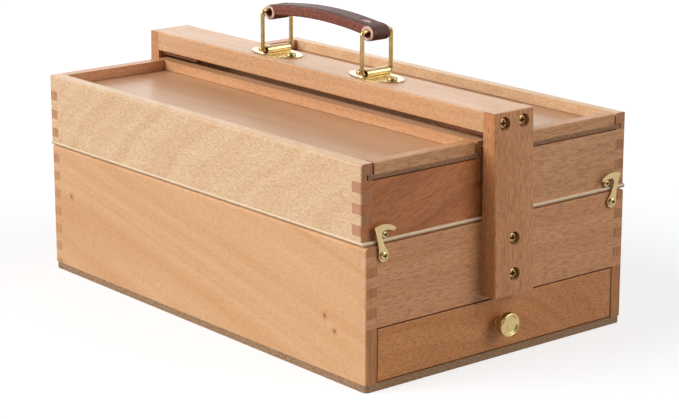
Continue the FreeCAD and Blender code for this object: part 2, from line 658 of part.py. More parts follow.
def leather_grip():
    """Arched leather strap with a loop round the upper rod of each bail, and a slit beside each loop."""
    middle, half = GRIP_Z - GRIP_DROP, GRIP_THICKNESS / 2
    arch = (BAIL_Y ** 2 + GRIP_RISE ** 2) / (2 * GRIP_RISE)
    centre_z = middle + GRIP_RISE - arch
    lean = math.asin(BAIL_Y / arch)

    def at(radius, angle):
        return Vector(-GRIP_WIDTH / 2, radius * math.sin(angle), centre_z + radius * math.cos(angle))

    top, low = arch + half, arch - half
    edges = [
        Part.Arc(at(top, -lean), at(top, 0), at(top, lean)),
        Part.LineSegment(at(top, lean), at(low, lean)),
        Part.Arc(at(low, lean), at(low, 0), at(low, -lean)),
        Part.LineSegment(at(low, -lean), at(top, -lean)),
    ]
    strap = Part.Face(Part.Wire([edge.toShape() for edge in edges])).extrude(Vector(GRIP_WIDTH, 0, 0))
    long_edges = [edge for edge in strap.Edges if edge.Length > BAIL_Y]
    strap = strap.makeChamfer(GRIP_BEVEL, long_edges)
    loops = [rod_x(LOOP_RADIUS, end * BAIL_Y, GRIP_Z - LOOP_DROP, GRIP_WIDTH / 2) for end in (FRONT, REAR)]
    grip = strap.fuse(loops).removeSplitter()
    for end in (FRONT, REAR):
        grip = grip.cut(rod_x(LOOP_HOLLOW_RADIUS, end * BAIL_Y, GRIP_Z - LOOP_HOLLOW_DROP, GRIP_WIDTH))
        grip = grip.cut(rod_x(BAIL_BORE, end * BAIL_Y, GRIP_Z, GRIP_WIDTH))
        grip = grip.cut(grip_slot(end))
    return grip


# --- everything, one file per sub-part ----------------------------------------------------------------
def main():
    os.makedirs("parts", exist_ok=True)

    save("base_panel", base_panel())
    save("case_left_wall", case_side_wall(LEFT))
    save("case_right_wall", case_side_wall(RIGHT))
    save("case_front_wall", case_end_wall(FRONT))
    save("case_rear_wall", case_end_wall(REAR))
    save("compartment_floor", case_floor())

    save("drawer_front", drawer_front())
    save("drawer_left_side", drawer_side(LEFT))
    save("drawer_right_side", drawer_side(RIGHT))
    save("drawer_back", drawer_back())
    save("drawer_bottom", drawer_bottom())
    save("drawer_knob", drawer_knob())
    save("knob_screw", knob_screw())

    left_tray_pieces = {
        "tray_outer_wall": tray_outer_wall(),
        "tray_inner_wall": tray_inner_wall(),
        "tray_front_wall": tray_end_wall(FRONT),
        "tray_rear_wall": tray_end_wall(REAR),
        "tray_bottom": tray_bottom(),
        "tray_bushes": tray_bushes(),
        "catch_screw": catch_screw(),
        "lid_panel": lid_panel(),
        "lid_front_rail": lid_front_rail(),
        "hook": left_hook(),
    }
    for name, piece in left_tray_pieces.items():
        save("left_" + name, piece)
        save("right_" + name, mirrored(piece))

    save("front_upright", upright(FRONT))
    save("rear_upright", upright(REAR))
    save("top_rail", top_rail())
    save("front_stop_block", stop_block(FRONT))
    save("rear_stop_block", stop_block(REAR))
    save("front_upright_screws", solids(yoke_screws(FRONT)))
    save("rear_upright_screws", solids(yoke_screws(REAR)))
    save("tray_pivot_pins", pivot_pins())
    save("hook_pivot_screws", hook_screws())

    save("front_handle_plate", handle_plate(FRONT))
    save("rear_handle_plate", handle_plate(REAR))
    save("handle_plate_screws", plate_screws())
    save("front_bail", bail(FRONT))
    save("rear_bail", bail(REAR))
    save("leather_grip", leather_grip())


main()
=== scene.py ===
import bmesh
import bpy
import numpy as np
from bpy.props import FloatProperty, FloatVectorProperty, PointerProperty
from mathutils import Matrix, Vector


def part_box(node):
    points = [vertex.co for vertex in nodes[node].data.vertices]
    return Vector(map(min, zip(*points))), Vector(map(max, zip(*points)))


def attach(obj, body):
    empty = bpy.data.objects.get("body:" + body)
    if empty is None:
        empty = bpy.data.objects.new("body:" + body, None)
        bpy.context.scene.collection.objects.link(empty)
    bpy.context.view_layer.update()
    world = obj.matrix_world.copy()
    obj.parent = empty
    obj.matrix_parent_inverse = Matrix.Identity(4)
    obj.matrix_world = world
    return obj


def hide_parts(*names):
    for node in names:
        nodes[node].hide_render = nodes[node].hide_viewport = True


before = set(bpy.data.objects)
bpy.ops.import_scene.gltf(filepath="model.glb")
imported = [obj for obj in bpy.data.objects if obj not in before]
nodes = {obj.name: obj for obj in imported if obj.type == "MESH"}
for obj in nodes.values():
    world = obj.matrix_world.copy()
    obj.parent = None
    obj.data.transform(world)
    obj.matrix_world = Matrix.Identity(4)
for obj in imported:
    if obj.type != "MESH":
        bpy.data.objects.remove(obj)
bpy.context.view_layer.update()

bl_info = {
    "name": "Artist's drawer box",
    "version": (1, 0, 0),
    "blender": (4, 5, 0),
    "location": "3D View > Sidebar > Drawer box",
    "description": "Dresses a finger-jointed beech paint box: boards, plywood, brass and a leather grip",
    "category": "Object",
}

MM = 0.001
WAVE_TURN = 20    # a wave texture of scale 1 turns by 20 radians per metre


def cell(size):
    """The scale of a pattern whose cells are this many millimetres across."""
    return 1 / (size * MM)


# --- colours and nodes --------------------------------------------------------------------------------
def linear(colour):
    """A colour as linear RGBA. A setting's colour is linear already. An sRGB hex colour takes the power
    curve above 0.04045 and a straight line below it."""
    if not isinstance(colour, str):
        return (*colour, 1.0)
    channels = np.array([int(colour[i:i + 2], 16) for i in (1, 3, 5)]) / 255
    flat = np.where(channels <= 0.04045, channels / 12.92, ((channels + 0.055) / 1.055) ** 2.4)
    return (*flat.tolist(), 1.0)


def add_node(tree, kind, inputs=(), **settings):
    """Adds a node, sets its properties, and links or fills its inputs."""
    made = tree.nodes.new(kind)
    for name, value in settings.items():
        setattr(made, name, value)
    for socket, value in dict(inputs).items():
        if isinstance(value, bpy.types.NodeSocket):
            tree.links.new(value, made.inputs[socket])
        else:
            made.inputs[socket].default_value = value
    return made


def new_material(name):
    """An empty node material and its tree."""
    made = bpy.data.materials.new(name)
    made.use_nodes = True
    made.node_tree.nodes.clear()
    return made, made.node_tree


def finish_material(tree, shader):
    """Links a shader to the material's output."""
    add_node(tree, "ShaderNodeOutputMaterial", {"Surface": shader.outputs[0]})


# Turns that lay a board's fibres along the pattern's X, its thickness along Y and its width along Z.
FIBRE_TURN = {"X": (0, 0, 0), "Y": (0, 0, -np.pi / 2), "Z": (0, np.pi / 2, 0)}
FIBRE_AXIS = {"X": (1, 0, 0), "Y": (0, 1, 0), "Z": (0, 0, 1)}


def beech(name, fibre, light, dark, end="#b97f57", end_dark="#a56c47", figure=0.5, streaks=0.4, threads=0.3,
          fleck=0.3, flame=0.03, centre=(0, 0, 0), tilt=0.0, length=4.0, mark="#9c6139", shine=0.35,
          edges=0.0, knots=()):
    """Steamed European beech, planed, sanded and oiled: pinkish tan, with broad faint growth rings and short
    dark ray flecks along the fibres. Its end grain drinks more oil, so it is darker, and banded.

    light and dark tint the faces, and end and end_dark the end grain. figure, streaks, threads and fleck are
    the strengths, from 0 to 1, of the rings, streaks, threads of fibre and ray flecks. flame is how far the
    rings are drawn out along the fibres, where 1 is not at all. They run round centre, in metres, and tilt
    turns them. A thread is length millimetres long, and mark is its colour. shine is the specular level,
    edges the strength of the painted shade on upward faces, and knots are places in metres."""
    made, tree = new_material(name)
    place = add_node(tree, "ShaderNodeTexCoord")
    board = add_node(tree, "ShaderNodeMapping", {"Vector": place.outputs["Object"],
                                                 "Rotation": FIBRE_TURN[fibre]})
    # growth rings: bands 4 to 12 mm wide about a far centre, drawn out along the fibres into flames
    turned = add_node(tree, "ShaderNodeMapping", {"Vector": board.outputs[0], "Rotation": (0, tilt, 0)})
    drawn = add_node(tree, "ShaderNodeMapping", {"Vector": turned.outputs[0], "Location": centre,
                                                 "Scale": (flame, 1, 1)})
    wander = add_node(tree, "ShaderNodeTexNoise", {"Vector": drawn.outputs[0], "Scale": cell(71.43),
                                                   "Detail": 2.0})
    stray = 20 * MM
    bent = add_node(tree, "ShaderNodeVectorMath", {0: wander.outputs["Color"], 1: (stray, stray, stray),
                                                   2: drawn.outputs[0]}, operation="MULTIPLY_ADD")
    away = add_node(tree, "ShaderNodeVectorMath", {0: bent.outputs[0]}, operation="LENGTH")
    rings = add_node(tree, "ShaderNodeTexNoise", {"W": away.outputs["Value"], "Scale": cell(6.667),
                                                  "Detail": 3.0, "Roughness": 0.6}, noise_dimensions="1D")
    ring_tone = add_node(tree, "ShaderNodeMapRange", {"Value": rings.outputs[0], "From Min": 0.40,
                                                      "From Max": 0.66})
    # soft streaks some 70 mm long and 7 mm wide
    streak_place = add_node(tree, "ShaderNodeMapping", {
        "Vector": turned.outputs[0], "Scale": (cell(71.43), cell(6.667), cell(6.667))})
    streak = add_node(tree, "ShaderNodeTexNoise", {"Vector": streak_place.outputs[0], "Scale": 1.0,
                                                   "Detail": 4.0, "Roughness": 0.55})
    streak_tone = add_node(tree, "ShaderNodeMapRange", {"Value": streak.outputs[0], "From Min": 0.30,
                                                        "From Max": 0.75})
    tone = add_node(tree, "ShaderNodeMath", {0: ring_tone.outputs[0], 1: figure, 2: 0.0},
                    operation="MULTIPLY_ADD")
    tone = add_node(tree, "ShaderNodeMath", {0: streak_tone.outputs[0], 1: streaks, 2: tone.outputs[0]},
                    operation="MULTIPLY_ADD", use_clamp=True)
    face = add_node(tree, "ShaderNodeMix", {0: tone.outputs[0], 6: linear(light), 7: linear(dark)},
                    data_type="RGBA")
    # threads of fibre length mm long and 1 mm wide, waving a little; wider than life, so that they show
    thread_place = add_node(tree, "ShaderNodeMapping", {
        "Vector": turned.outputs[0], "Scale": (1.1 * cell(length), 1.1 * cell(1), 1.1 * cell(1))})
    thread = add_node(tree, "ShaderNodeTexNoise", {"Vector": thread_place.outputs[0], "Scale": 1.0,
                                                   "Detail": 1.5, "Roughness": 0.5, "Distortion": 0.4})
    thread_tone = add_node(tree, "ShaderNodeMapRange", {"Value": thread.outputs[0], "From Min": 0.48,
                                                        "From Max": 0.62, "To Max": threads})
    face = add_node(tree, "ShaderNodeMix", {0: thread_tone.outputs[0], 6: face.outputs[2],
                                            7: linear(mark)}, data_type="RGBA")
    # ray flecks: dashes about 2.5 mm by 0.5 mm
    fleck_place = add_node(tree, "ShaderNodeMapping", {
        "Vector": board.outputs[0], "Scale": (cell(2.5), cell(0.5263), cell(0.5263))})
    flecks = add_node(tree, "ShaderNodeTexNoise", {"Vector": fleck_place.outputs[0], "Scale": 1.0,
                                                   "Detail": 1.0})
    fleck_tone = add_node(tree, "ShaderNodeMapRange", {"Value": flecks.outputs[0], "From Min": 0.50,
                                                       "From Max": 0.75, "To Max": fleck})
    marked = add_node(tree, "ShaderNodeMix", {0: fleck_tone.outputs[0], 6: face.outputs[2],
                                              7: linear("#8a5633")}, data_type="RGBA").outputs[2]
    # pin knots: dark hearts 1 mm across in reddish rings that fade over 4 mm
    for knot in knots:
        gap = add_node(tree, "ShaderNodeVectorMath", {0: place.outputs["Object"], 1: knot},
                       operation="DISTANCE")
        for outside, inside, strength, tint in ((4, 1, 0.45, "#a9683c"), (1.3, 0.5, 0.85, "#4a2814")):
            fade = add_node(tree, "ShaderNodeMapRange", {
                "Value": gap.outputs["Value"], "From Min": outside * MM, "From Max": inside * MM,
                "To Max": strength})
            marked = add_node(tree, "ShaderNodeMix", {0: fade.outputs[0], 6: marked, 7: linear(tint)},
                              data_type="RGBA").outputs[2]
    # end grain: bands 1 to 2 mm thick across the thickness, and 25 mm long across the width
    end_place = add_node(tree, "ShaderNodeMapping", {
        "Vector": board.outputs[0], "Scale": (cell(16.67), cell(1.429), cell(25))})
    bands = add_node(tree, "ShaderNodeTexNoise", {"Vector": end_place.outputs[0], "Scale": 1.0,
                                                  "Detail": 2.0})
    band_tone = add_node(tree, "ShaderNodeMapRange", {"Value": bands.outputs[0], "From Min": 0.38,
                                                      "From Max": 0.62})
    cut = add_node(tree, "ShaderNodeMix", {0: band_tone.outputs[0], 6: linear(end), 7: linear(end_dark)},
                   data_type="RGBA")
    facing = add_node(tree, "ShaderNodeVectorMath", {0: place.outputs["Normal"], 1: FIBRE_AXIS[fibre]},
                      operation="DOT_PRODUCT")
    facing = add_node(tree, "ShaderNodeMath", {0: facing.outputs["Value"]}, operation="ABSOLUTE")
    is_end = add_node(tree, "ShaderNodeMapRange", {"Value": facing.outputs[0], "From Min": 0.6,
                                                   "From Max": 0.9})
    # painted shade: upward faces, such as a front's narrow top edge, are darkened for the shade in a gap
    # above them
    level = add_node(tree, "ShaderNodeVectorMath", {0: place.outputs["Normal"], 1: (0, 0, 1)},
                     operation="DOT_PRODUCT")
    level = add_node(tree, "ShaderNodeMapRange", {"Value": level.outputs["Value"], "From Min": 0.6,
                                                  "From Max": 0.9, "To Max": edges})
    marked = add_node(tree, "ShaderNodeMix", {0: level.outputs[0], 6: marked, 7: linear("#4a2c18")},
                      data_type="RGBA").outputs[2]
    colour = add_node(tree, "ShaderNodeMix", {0: is_end.outputs[0], 6: marked, 7: cut.outputs[2]},
                      data_type="RGBA")
    # the oil lies as a satin sheen that follows the streaks
    sheen = add_node(tree, "ShaderNodeMapRange", {"Value": streak.outputs[0], "To Min": 0.34,
                                                  "To Max": 0.50})
    relief = add_node(tree, "ShaderNodeBump", {"Height": flecks.outputs[0], "Strength": 0.1,
                                               "Distance": 0.2 * MM})
    shader = add_node(tree, "ShaderNodeBsdfPrincipled", {
        "Base Color": colour.outputs[2], "Roughness": sheen.outputs[0], "Normal": relief.outputs[0],
        "IOR": 1.5, "Specular IOR Level": shine})
    finish_material(tree, shader)
    return made


def plywood(name, face_colour, face_dark, edge_light, edge_dark, ply=1.3, stripes=1.0, shift=0.0,
            roughness=0.4):
    """Thin plywood with a rotary-cut face: broad soft figure, and sawn edges striped by the plies and
    specked by torn fibres.

    ply is a ply's thickness in millimetres, shift moves the plies by millimetres, stripes is how far the
    plies show above the torn fibres, and roughness is the face's."""
    made, tree = new_material(name)
    place = add_node(tree, "ShaderNodeTexCoord")
    board = add_node(tree, "ShaderNodeMapping", {"Vector": place.outputs["Object"],
                                                 "Rotation": FIBRE_TURN["Y"]})
    # figure: soft bands some 200 mm long and 22 mm wide
    stretched = add_node(tree, "ShaderNodeMapping", {
        "Vector": board.outputs[0], "Scale": (cell(200), cell(22.22), cell(22.22))})
    figure = add_node(tree, "ShaderNodeTexNoise", {"Vector": stretched.outputs[0], "Scale": 1.0,
                                                   "Detail": 5.0, "Roughness": 0.5, "Distortion": 0.6})
    figure_tone = add_node(tree, "ShaderNodeMapRange", {"Value": figure.outputs[0], "From Min": 0.3,
                                                        "From Max": 0.7})
    face = add_node(tree, "ShaderNodeMix", {0: figure_tone.outputs[0], 6: linear(face_colour),
                                            7: linear(face_dark)}, data_type="RGBA")
    # plies: one period is two plies, so that light and dark alternate; on the trays' strip the two bands are
    # painted light and shade, a pale band on top and a dark band below
    layer_place = add_node(tree, "ShaderNodeMapping", {"Vector": place.outputs["Object"],
                                                       "Location": (0, 0, shift * MM)})
    layers = add_node(tree, "ShaderNodeTexWave", {"Vector": layer_place.outputs[0],
                                                  "Scale": 2 * np.pi * cell(2 * ply) / WAVE_TURN,
                                                  "Distortion": 0.4, "Detail": 1.0, "Detail Scale": 3.0},
                      bands_direction="Z")
    # torn fibres: specks about 1.2 mm long and 0.7 mm high
    grit_place = add_node(tree, "ShaderNodeMapping", {
        "Vector": place.outputs["Object"], "Scale": (cell(1.176), cell(1.176), cell(0.7143))})
    grit = add_node(tree, "ShaderNodeTexNoise", {"Vector": grit_place.outputs[0], "Scale": 1.0,
                                                 "Detail": 2.0})
    grit_tone = add_node(tree, "ShaderNodeMapRange", {"Value": grit.outputs[0], "From Min": 0.36,
                                                      "From Max": 0.66})
    layer_tone = add_node(tree, "ShaderNodeMath", {0: layers.outputs["Fac"], 1: 0.5 * stripes, 2: 0.0},
                          operation="MULTIPLY_ADD")
    rough_layers = add_node(tree, "ShaderNodeMath", {0: grit_tone.outputs[0], 1: 1 - 0.5 * stripes,
                                                     2: layer_tone.outputs[0]},
                            operation="MULTIPLY_ADD", use_clamp=True)
    edge = add_node(tree, "ShaderNodeMix", {0: rough_layers.outputs[0], 6: linear(edge_light),
                                            7: linear(edge_dark)}, data_type="RGBA")
    upward = add_node(tree, "ShaderNodeVectorMath", {0: place.outputs["Normal"], 1: (0, 0, 1)},
                      operation="DOT_PRODUCT")
    upward = add_node(tree, "ShaderNodeMath", {0: upward.outputs["Value"]}, operation="ABSOLUTE")
    is_face = add_node(tree, "ShaderNodeMapRange", {"Value": upward.outputs[0], "From Min": 0.5,
                                                    "From Max": 0.9})
    colour = add_node(tree, "ShaderNodeMix", {0: is_face.outputs[0], 6: edge.outputs[2],
                                              7: face.outputs[2]}, data_type="RGBA")
    # the sanded face is glossy, and the sawn edge is dull
    gloss = add_node(tree, "ShaderNodeMapRange", {"Value": is_face.outputs[0], "To Min": 0.7,
                                                  "To Max": roughness})
    relief = add_node(tree, "ShaderNodeBump", {"Height": figure.outputs[0], "Strength": 0.05,
                                               "Distance": 0.3 * MM})
    shader = add_node(tree, "ShaderNodeBsdfPrincipled", {
        "Base Color": colour.outputs[2], "Roughness": gloss.outputs[0], "Normal": relief.outputs[0],
        "IOR": 1.5, "Specular IOR Level": 0.3})
    finish_material(tree, shader)
    return made


def polished_brass(name, colour, tarnish, roughness):
    """Rolled brass, buffed and lacquered: pale yellow, with faint wipe marks 4 mm across in its gloss."""
    made, tree = new_material(name)
    place = add_node(tree, "ShaderNodeTexCoord")
    wipes = add_node(tree, "ShaderNodeTexNoise", {"Vector": place.outputs["Object"], "Scale": cell(3.846),
                                                  "Detail": 3.0})
    gloss = add_node(tree, "ShaderNodeMapRange", {"Value": wipes.outputs[0], "From Min": 0.3,
                                                  "From Max": 0.7, "To Min": roughness * 0.8,
                                                  "To Max": roughness * 1.3})
    tint = add_node(tree, "ShaderNodeMix", {0: wipes.outputs[0], 6: linear(colour), 7: linear(tarnish)},
                    data_type="RGBA")
    relief = add_node(tree, "ShaderNodeBump", {"Height": wipes.outputs[0], "Strength": 0.04,
                                               "Distance": 0.2 * MM})
    shader = add_node(tree, "ShaderNodeBsdfPrincipled", {
        "Base Color": tint.outputs[2], "Metallic": 1.0, "Roughness": gloss.outputs[0],
        "Normal": relief.outputs[0]})
    finish_material(tree, shader)
    return made


def bridle_leather(name, light, dark, roughness, grain):
    """Waxed bridle leather: dark brown, mottled red where the wax is thin, with pebbled grain. grain is how
    strong the pebbles are."""
    made, tree = new_material(name)
    place = add_node(tree, "ShaderNodeTexCoord")
    # mottle: blotches 1.6 mm across
    mottle = add_node(tree, "ShaderNodeTexNoise", {"Vector": place.outputs["Object"], "Scale": cell(1.613),
                                                   "Detail": 5.0, "Roughness": 0.7})
    tone = add_node(tree, "ShaderNodeMapRange", {"Value": mottle.outputs[0], "From Min": 0.36,
                                                 "From Max": 0.66})
    colour = add_node(tree, "ShaderNodeMix", {0: tone.outputs[0], 6: linear(dark), 7: linear(light)},
                      data_type="RGBA")
    # pebbles: drawn coarser than life, 1.3 mm, so that they show
    pebbles = add_node(tree, "ShaderNodeTexVoronoi", {"Vector": place.outputs["Object"],
                                                      "Scale": cell(1.316)}, feature="SMOOTH_F1")
    height = add_node(tree, "ShaderNodeMath", {0: mottle.outputs[0], 1: 0.8,
                                               2: pebbles.outputs["Distance"]}, operation="MULTIPLY_ADD")
    relief = add_node(tree, "ShaderNodeBump", {"Height": height.outputs[0], "Strength": grain,
                                               "Distance": 0.7 * MM})
    gloss = add_node(tree, "ShaderNodeMapRange", {"Value": mottle.outputs[0], "To Min": roughness - 0.12,
                                                  "To Max": roughness + 0.15})
    shader = add_node(tree, "ShaderNodeBsdfPrincipled", {
        "Base Color": colour.outputs[2], "Roughness": gloss.outputs[0], "Normal": relief.outputs[0],
        "IOR": 1.5, "Specular IOR Level": 0.35})
    finish_material(tree, shader)
    return made


# --- meshes -------------------------------------------------------------------------------------------
def grid_faces(rows, columns, start=0, wrap_rows=False):
    """Quads of a grid whose columns close on themselves, row after row."""
    last = rows if wrap_rows else rows - 1
    row = np.arange(last)[:, None]
    column = np.arange(columns)[None, :]
    following, beside = (row + 1) % rows, (column + 1) % columns
    quads = np.stack([row * columns + column, row * columns + beside, following * columns + beside,
                      following * columns + column], axis=-1)
    return quads.reshape(-1, 4) + start


def make_piece(name, points, faces, materials, slots=None, smooth=True):
    """A mesh object at the origin from arrays of points and faces, its faces turned outwards."""
    mesh = bpy.data.meshes.new(name)
    mesh.from_pydata(points.tolist(), [], [list(face) for face in faces])
    shell = bmesh.new()
    shell.from_mesh(mesh)
    bmesh.ops.recalc_face_normals(shell, faces=shell.faces[:])
    shell.to_mesh(mesh)
    shell.free()
    for material in materials:
        mesh.materials.append(material)
    if slots is not None:
        mesh.polygons.foreach_set("material_index", np.asarray(slots, np.int32))
    mesh.polygons.foreach_set("use_smooth", np.full(len(mesh.polygons), smooth))
    mesh.update()
    piece = bpy.data.objects.new(name, mesh)
    bpy.context.scene.collection.objects.link(piece)
    return piece


def signed_power(values, power):
    """Raises the sizes of numbers to a power and keeps their signs, which squares up a sine or cosine."""
    return np.sign(values) * np.abs(values) ** power


def loose_boxes(name):
    """(low, high) corners of each separate solid of a CAD node, found by joining points that coincide and
    then walking along the edges."""
    mesh = nodes[name].data
    points = np.empty(len(mesh.vertices) * 3)
    mesh.vertices.foreach_get("co", points)
    points = points.reshape(-1, 3)
    ends = np.empty(len(mesh.edges) * 2, np.int32)
    mesh.edges.foreach_get("vertices", ends)
    joined = np.unique(np.round(points, 6), axis=0, return_inverse=True)[1].reshape(-1)
    first, second = joined[ends.reshape(-1, 2)].T
    label = np.arange(joined.max() + 1)
    while True:
        lowest = label.copy()
        np.minimum.at(lowest, first, label[second])
        np.minimum.at(lowest, second, label[first])
        if (lowest == label).all():
            break
        label = lowest
    owner = label[joined]
    solids = [points[owner == one] for one in np.unique(owner)]
    return [(solid.min(axis=0), solid.max(axis=0)) for solid in solids]


def screw_points(base, outward, radius, rise, length, shank):
    """A pan-head screw as a lathe: a shank, a flat seat, a bulging side, and a dome that falls as the
    fourth power of the radius. Two crossed troughs with soft walls sink the middle of the dome. Returns the
    points, which of them are in the troughs, and the counts of rows and columns."""
    columns = 64
    around = np.linspace(0, 2 * np.pi, columns, endpoint=False)
    side = np.linspace(0, np.pi / 2, 7)
    dome = np.linspace(1, 0.01, 30)[1:]
    seat, side_top = 0.97, 0.45     # the seat's share of the radius, and the side's share of the rise
    reach = np.concatenate([[0.01 * shank, shank, shank], radius * (seat + (1 - seat) * np.sin(side)),
                            radius * dome * 0.999])
    height = np.concatenate([[-length, -length, 0], side_top * rise * np.sin(side),
                             rise * (1 - (1 - side_top) * dome ** 4)])
    u, v = reach[:, None] * np.cos(around), reach[:, None] * np.sin(around)
    w = np.broadcast_to(height[:, None], u.shape).copy()
    # a trough's half length and half width, the width of its soft walls, and its depth
    arm, half, soft, depth = radius * 0.6, radius * 0.13, radius * 0.07, rise * 0.6
    trough = np.zeros_like(w)
    for along, across in ((u, v), (v, u)):
        trough = np.maximum(trough, np.clip((arm - abs(along)) / soft, 0, 1)
                            * np.clip((half + soft - abs(across)) / soft, 0, 1))
    trough = trough * (height > 0.4 * rise)[:, None]
    w -= depth * trough
    outward = np.array(outward, float)
    sideways = np.array([1.0, 0, 0])
    points = (np.array(base) + u[..., None] * sideways + v[..., None] * np.cross(outward, sideways)
              + w[..., None] * outward)
    return points.reshape(-1, 3), (trough > 0.6).reshape(-1), len(reach), columns


def screws_piece(name, node, outward, rise, shank, material, dark):
    """Redraws every screw of a CAD node with a crossed, domed head in the same place. rise is the head's
    height, shank the shank's radius, and dark the material of the painted shade in the recess."""
    axis = int(np.argmax(np.abs(outward)))
    way = np.sign(outward[axis])
    all_points, faces, slots, start = [], [], [], 0
    for low, high in loose_boxes(node):
        radius = (high[0] - low[0]) / 2
        base = (low + high) / 2
        tip, top = (low[axis], high[axis]) if way > 0 else (high[axis], low[axis])
        base[axis] = top - way * rise
        points, recessed, rows, columns = screw_points(base, outward, radius, rise, abs(base[axis] - tip),
                                                       shank)
        all_points.append(points)
        quads = grid_faces(rows, columns)
        slots += recessed[quads].all(axis=1).astype(int).tolist() + [0, 0]
        faces += (quads + start).tolist()
        faces += [list(range(start, start + columns))[::-1],
                  list(range(start + (rows - 1) * columns, start + rows * columns))]
        start += rows * columns
    return make_piece(name, np.concatenate(all_points), faces, [material, dark], slots)


def bail_points(centre, half_width, half_height, bend, wire):
    """A closed rectangle of round wire: four quarter turns about corner centres, joined by straight runs,
    and a circle carried along them in the plane of the turn's own radius and Y."""
    steps, columns = 14, 28
    turn = (np.array([3, 0, 1, 2])[:, None] * np.pi / 2 + np.linspace(0, np.pi / 2, steps)).reshape(-1)
    side = np.repeat([1, 1, -1, -1], steps) * (half_width - bend)
    level = np.repeat([-1, 1, 1, -1], steps) * (half_height - bend)
    around = np.linspace(0, 2 * np.pi, columns, endpoint=False)
    reach = bend + wire * np.cos(around)
    points = np.empty((len(turn), columns, 3))
    points[..., 0] = centre[0] + side[:, None] + reach * np.cos(turn)[:, None]
    points[..., 1] = centre[1] + wire * np.sin(around)
    points[..., 2] = centre[2] + level[:, None] + reach * np.sin(turn)[:, None]
    return points.reshape(-1, 3), grid_faces(len(turn), columns, wrap_rows=True)


def dress(material, *names):
    """Gives CAD nodes one material."""
    for name in names:
        mesh = nodes[name].data
        mesh.materials.clear()
        mesh.materials.append(material)


# --- properties ---------------------------------------------------------------------------------------
def colour_setting(name, description, hex_colour):
    """A colour that a user may change, from its sRGB hex default."""
    return FloatVectorProperty(name=name, description=description, size=3, subtype="COLOR", min=0, max=1,
                               default=linear(hex_colour)[:3])


class BoardColours(bpy.types.PropertyGroup):
    case: colour_setting("Case beech", "Pale tone of the case's long boards", "#e0b387")
    tray: colour_setting("Tray beech", "Pale tone of the trays' outer boards", "#e9c7a1")
    drawer: colour_setting("Drawer beech", "Pale tone of the drawer's front", "#d4925a")


class KnobSizes(bpy.types.PropertyGroup):
    neck: FloatProperty(name="Neck", description="Radius of the knob's neck", default=3.9 * MM,
                        subtype="DISTANCE", unit="LENGTH")
    rim: FloatProperty(name="Rim", description="Width of the bright rim round the dished face",
                       default=1.5 * MM, subtype="DISTANCE", unit="LENGTH")
    dish: FloatProperty(name="Dish", description="Depth of the dished face", default=1.4 * MM,
                        subtype="DISTANCE", unit="LENGTH")


class BailSizes(bpy.types.PropertyGroup):
    wire: FloatProperty(name="Wire", description="Radius of the brass wire", default=1.55 * MM,
                        subtype="DISTANCE", unit="LENGTH")
    bend: FloatProperty(name="Bend", description="Radius of the bends at the corners", default=2.6 * MM,
                        subtype="DISTANCE", unit="LENGTH")
    brass: colour_setting("Brass", "Colour of the wire", "#cdb17a")


class GripSizes(bpy.types.PropertyGroup):
    thickness: FloatProperty(name="Thickness", description="Thickness of the strap", default=8 * MM,
                             subtype="DISTANCE", unit="LENGTH")
    hang: FloatProperty(name="Hang", description="How far the loops' middles hang below the rods",
                        default=1.6 * MM, subtype="DISTANCE", unit="LENGTH")
    slit_width: FloatProperty(name="Slit width", description="Width of the slit beside each loop",
                              default=5.0 * MM, subtype="DISTANCE", unit="LENGTH")
    slit_depth: FloatProperty(name="Slit depth", description="Depth of the slit beside each loop",
                              default=0.9 * MM, subtype="DISTANCE", unit="LENGTH")
    leather: colour_setting("Leather", "Colour of the leather where the wax is thin", "#663a2c")


class StageSettings(bpy.types.PropertyGroup):
    floor_colour: FloatVectorProperty(name="Floor", description="Colour of the light the floor throws back",
                                      size=3, subtype="COLOR", default=(0.46, 0.45, 0.44), min=0, max=1)
    room: FloatProperty(name="Room light", description="Strength of the even light of the room",
                        default=0.14, min=0)
    window: FloatProperty(name="Window light", description="Strength of the light behind on the left",
                          default=3.1, min=0)
    fill: FloatProperty(name="Front light", description="Strength of the light in front on the right",
                        default=1.5, min=0)
    panel: FloatProperty(name="White panel", description="Power of the panel for the tops' sheen",
                         default=8.0, min=0, subtype="POWER", unit="POWER")


# --- operators ----------------------------------------------------------------------------------------
BOTH = ("left_", "right_")


